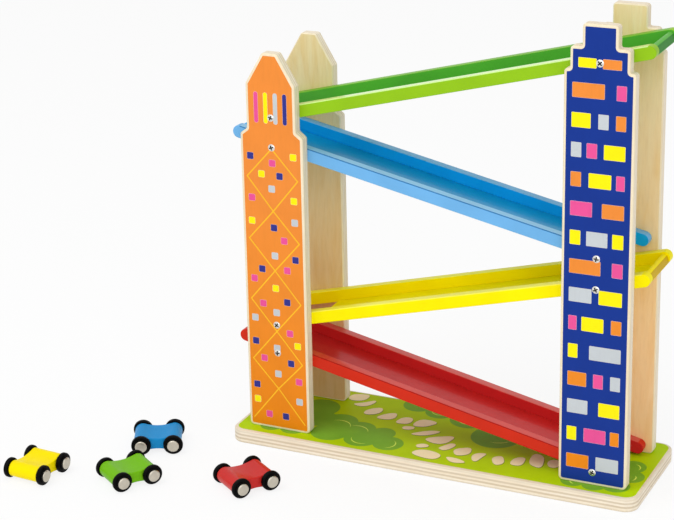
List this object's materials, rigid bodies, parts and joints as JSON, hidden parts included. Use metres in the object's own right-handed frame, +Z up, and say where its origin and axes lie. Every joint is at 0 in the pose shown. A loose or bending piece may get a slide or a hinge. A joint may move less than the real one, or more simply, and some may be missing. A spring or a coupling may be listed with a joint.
{
  "type": "click clack track toy",
  "caption": "Wooden click clack track: printed base board, stepped and pointed tower panels, zigzag railed ramps with drop gaps and stop bars, and small cars on rubber-tyred wheels.",
  "frame": {"origin": "centre of the base board's underside, which is also the level that the cars stand on", "axes": "+X along the base board towards the taller stepped towers, -Y towards the front with the printed panels, +Z up"},
  "size_m": [0.5289, 0.2714, 0.412],
  "materials": {
    "lawn_board": "printed plywood with a satin lacquer",
    "orange_tower": "printed plywood with a satin lacquer",
    "navy_tower": "printed plywood with a satin lacquer",
    "plain_tower": "plain plywood, printed on its outer face",
    "red_wood": "gloss paint on wood",
    "yellow_wood": "gloss paint on wood",
    "blue_wood": "gloss paint on wood",
    "green_wood": "gloss paint on wood",
    "steel": "bright zinc-plated steel",
    "hub": "black moulded plastic",
    "tyre": "matt black rubber"
  },
  "bodies": {
    "track": {"base_board": "lawn_board", "tower_left_front": "orange_tower", "tower_left_rear": "plain_tower", "tower_right_front": "navy_tower", "tower_right_rear": "plain_tower", "red_ramp_front_rail": "red_wood", "red_ramp_rear_rail": "red_wood", "red_ramp_floor": "red_wood", "red_ramp_stop": "red_wood", "yellow_ramp_front_rail": "yellow_wood", "yellow_ramp_rear_rail": "yellow_wood", "yellow_ramp_floor": "yellow_wood", "yellow_ramp_stop": "yellow_wood", "blue_ramp_front_rail": "blue_wood", "blue_ramp_rear_rail": "blue_wood", "blue_ramp_floor": "blue_wood", "blue_ramp_stop": "blue_wood", "green_ramp_front_rail": "green_wood", "green_ramp_rear_rail": "green_wood", "green_ramp_floor": "green_wood", "green_ramp_stop": "green_wood", "ramp_screws": "steel", "base_screws": "steel"},
    "blue_car": {"blue_car_body": "blue_wood"},
    "blue_car_front_wheels": {"blue_car_front_axle": "steel", "blue_car_front_hubs": "hub", "blue_car_front_tyres": "tyre", "blue_car_front_discs": "steel"},
    "blue_car_rear_wheels": {"blue_car_rear_axle": "steel", "blue_car_rear_hubs": "hub", "blue_car_rear_tyres": "tyre", "blue_car_rear_discs": "steel"},
    "yellow_car": {"yellow_car_body": "yellow_wood"},
    "yellow_car_front_wheels": {"yellow_car_front_axle": "steel", "yellow_car_front_hubs": "hub", "yellow_car_front_tyres": "tyre", "yellow_car_front_discs": "steel"},
    "yellow_car_rear_wheels": {"yellow_car_rear_axle": "steel", "yellow_car_rear_hubs": "hub", "yellow_car_rear_tyres": "tyre", "yellow_car_rear_discs": "steel"},
    "green_car": {"green_car_body": "green_wood"},
    "green_car_front_wheels": {"green_car_front_axle": "steel", "green_car_front_hubs": "hub", "green_car_front_tyres": "tyre", "green_car_front_discs": "steel"},
    "green_car_rear_wheels": {"green_car_rear_axle": "steel", "green_car_rear_hubs": "hub", "green_car_rear_tyres": "tyre", "green_car_rear_discs": "steel"},
    "red_car": {"red_car_body": "red_wood"},
    "red_car_front_wheels": {"red_car_front_axle": "steel", "red_car_front_hubs": "hub", "red_car_front_tyres": "tyre", "red_car_front_discs": "steel"},
    "red_car_rear_wheels": {"red_car_rear_axle": "steel", "red_car_rear_hubs": "hub", "red_car_rear_tyres": "tyre", "red_car_rear_discs": "steel"}
  },
  "joints": [
    {"name": "blue_car_roll", "type": "slide", "parent": "track", "child": "blue_car", "axis": [0.8949, 0.4462, 0], "range_m": [-0.025, 0.03]},
    {"name": "blue_car_front_wheels_turn", "type": "hinge", "parent": "blue_car", "child": "blue_car_front_wheels", "pos_m": [-0.23246, -0.0884, 0.00885], "axis": [-0.4462, 0.8949, 0], "continuous": true},
    {"name": "blue_car_rear_wheels_turn", "type": "hinge", "parent": "blue_car", "child": "blue_car_rear_wheels", "pos_m": [-0.25814, -0.1012, 0.00885], "axis": [-0.4462, 0.8949, 0], "continuous": true},
    {"name": "yellow_car_roll", "type": "slide", "parent": "track", "child": "yellow_car", "axis": [-0.0802, -0.9968, 0], "range_m": [-0.025, 0.06]},
    {"name": "yellow_car_front_wheels_turn", "type": "hinge", "parent": "yellow_car", "child": "yellow_car_front_wheels", "pos_m": [-0.31625, -0.2011, 0.00885], "axis": [0.9968, -0.0802, 0], "continuous": true},
    {"name": "yellow_car_rear_wheels_turn", "type": "hinge", "parent": "yellow_car", "child": "yellow_car_rear_wheels", "pos_m": [-0.31395, -0.1725, 0.00885], "axis": [0.9968, -0.0802, 0], "continuous": true},
    {"name": "green_car_roll", "type": "slide", "parent": "track", "child": "green_car", "axis": [-0.5736, -0.8192, 0], "range_m": [-0.012, 0.04]},
    {"name": "green_car_front_wheels_turn", "type": "hinge", "parent": "green_car", "child": "green_car_front_wheels", "pos_m": [-0.24233, -0.17766, 0.00885], "axis": [0.8192, -0.5736, 0], "continuous": true},
    {"name": "green_car_rear_wheels_turn", "type": "hinge", "parent": "green_car", "child": "green_car_rear_wheels", "pos_m": [-0.22587, -0.15415, 0.00885], "axis": [0.8192, -0.5736, 0], "continuous": true},
    {"name": "red_car_roll", "type": "slide", "parent": "track", "child": "red_car", "axis": [-0.575, -0.8181, 0], "range_m": [-0.036, 0.06]},
    {"name": "red_car_front_wheels_turn", "type": "hinge", "parent": "red_car", "child": "red_car_front_wheels", "pos_m": [-0.14185, -0.14854, 0.00885], "axis": [0.8181, -0.575, 0], "continuous": true},
    {"name": "red_car_rear_wheels_turn", "type": "hinge", "parent": "red_car", "child": "red_car_rear_wheels", "pos_m": [-0.12535, -0.12506, 0.00885], "axis": [0.8181, -0.575, 0], "continuous": true}
  ],
  "couplings": [
    {"joint": "blue_car_front_wheels_turn", "follows": "blue_car_roll", "rad_per_m": 112.99},
    {"joint": "blue_car_rear_wheels_turn", "follows": "blue_car_roll", "rad_per_m": 112.99},
    {"joint": "yellow_car_front_wheels_turn", "follows": "yellow_car_roll", "rad_per_m": 112.99},
    {"joint": "yellow_car_rear_wheels_turn", "follows": "yellow_car_roll", "rad_per_m": 112.99},
    {"joint": "green_car_front_wheels_turn", "follows": "green_car_roll", "rad_per_m": 112.99},
    {"joint": "green_car_rear_wheels_turn", "follows": "green_car_roll", "rad_per_m": 112.99},
    {"joint": "red_car_front_wheels_turn", "follows": "red_car_roll", "rad_per_m": 112.99},
    {"joint": "red_car_rear_wheels_turn", "follows": "red_car_roll", "rad_per_m": 112.99}
  ]
}
